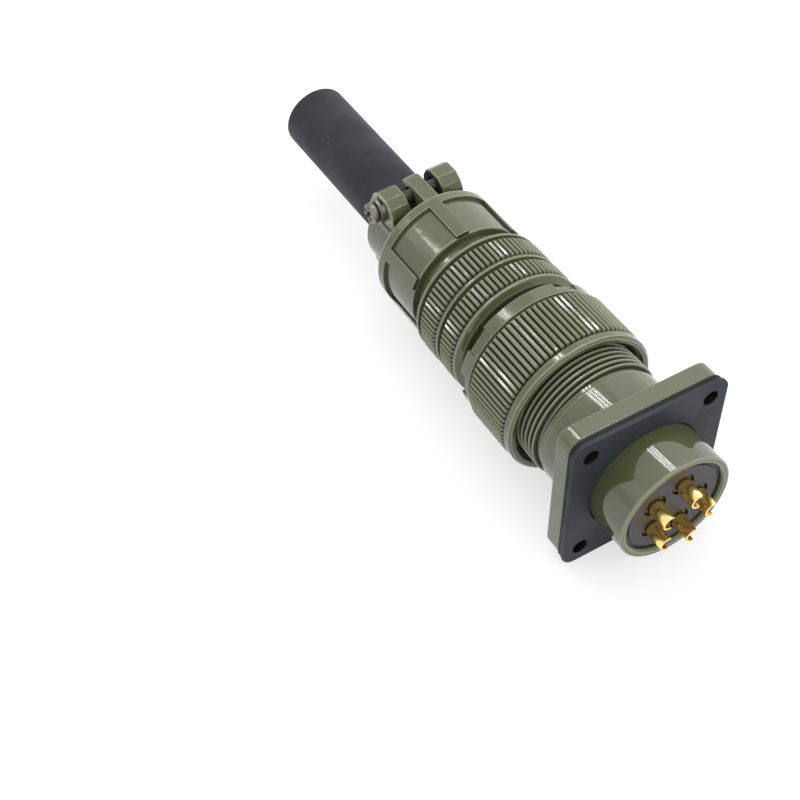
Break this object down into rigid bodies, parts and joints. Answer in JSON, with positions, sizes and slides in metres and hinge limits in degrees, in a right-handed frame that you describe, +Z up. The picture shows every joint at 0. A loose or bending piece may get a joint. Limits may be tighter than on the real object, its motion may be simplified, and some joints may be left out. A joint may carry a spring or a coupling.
{
  "type": "circular connector",
  "caption": "Mated circular connector: square-flange receptacle with solder-cup contacts, knurled coupling nut, knurled back shell, saddle cable clamp and rubber cable sleeve.",
  "frame": {"origin": "centre of the gasket's panel face, on the connector axis", "axes": "+X along the connector axis toward the cable, +Z up across the flange, +Y to the left seen from the solder cups; the panel lies on the -X side of the gasket"},
  "size_m": [0.1426, 0.0348, 0.0348],
  "materials": {
    "shell_paint": "glossy olive enamel on cast and turned metal",
    "nut_paint": "glossy olive enamel over a straight knurl",
    "barrel_paint": "thin olive enamel, satin",
    "bell_paint": "glossy olive enamel over a straight knurl",
    "clamp_paint": "glossy olive enamel on a die-cast body",
    "saddle_paint": "olive enamel over a coarse cast surface",
    "gasket_rubber": "moulded flat rubber sheet",
    "sleeve_rubber": "smooth moulded rubber, slightly shiny",
    "insert_plastic": "dark grey moulded insulator",
    "contact_gold": "bright gold plate",
    "ring_steel": "dark spring steel",
    "screw_steel": "nickel plate with worn olive overspray"
  },
  "bodies": {
    "receptacle": {"receptacle_shell": "shell_paint", "flange_gasket": "gasket_rubber", "receptacle_insert_front": "insert_plastic", "receptacle_insert_rear": "insert_plastic", "receptacle_ring": "ring_steel", "contact_pin_1": "contact_gold", "contact_pin_2": "contact_gold", "contact_pin_3": "contact_gold", "contact_pin_4": "contact_gold", "contact_pin_5": "contact_gold"},
    "plug": {"plug_barrel": "barrel_paint", "plug_insert_front": "insert_plastic", "plug_insert_rear": "insert_plastic", "plug_ring": "ring_steel", "contact_socket_1": "contact_gold", "contact_socket_2": "contact_gold", "contact_socket_3": "contact_gold", "contact_socket_4": "contact_gold", "contact_socket_5": "contact_gold", "nut_ring": "ring_steel", "back_shell": "bell_paint", "clamp_body": "clamp_paint", "cable_sleeve": "sleeve_rubber"},
    "coupling_nut": {"coupling_nut": "nut_paint"},
    "saddle_a": {"saddle_a": "saddle_paint", "screw_a": "screw_steel", "washer_a": "screw_steel"},
    "saddle_b": {"saddle_b": "saddle_paint", "screw_b": "screw_steel", "washer_b": "screw_steel"}
  },
  "joints": [
    {"name": "plug_slide", "type": "slide", "parent": "receptacle", "child": "plug", "axis": [1, 0, 0], "range_m": [-0.0055, 0.0034]},
    {"name": "nut_turn", "type": "hinge", "parent": "plug", "child": "coupling_nut", "pos_m": [0.028, 0, 0], "axis": [1, 0, 0], "range_deg": [-1559.1, 963.8]},
    {"name": "saddle_a_slide", "type": "slide", "parent": "plug", "child": "saddle_a", "axis": [0, 0.9986, -0.0523], "range_m": [0, 0.0015]},
    {"name": "saddle_b_slide", "type": "slide", "parent": "plug", "child": "saddle_b", "axis": [0, -0.9986, 0.0523], "range_m": [0, 0.0015]}
  ],
  "couplings": [
    {"joint": "nut_turn", "follows": "plug_slide", "rad_per_m": 4947.4},
    {"joint": "saddle_b_slide", "follows": "saddle_a_slide", "ratio": 1}
  ]
}
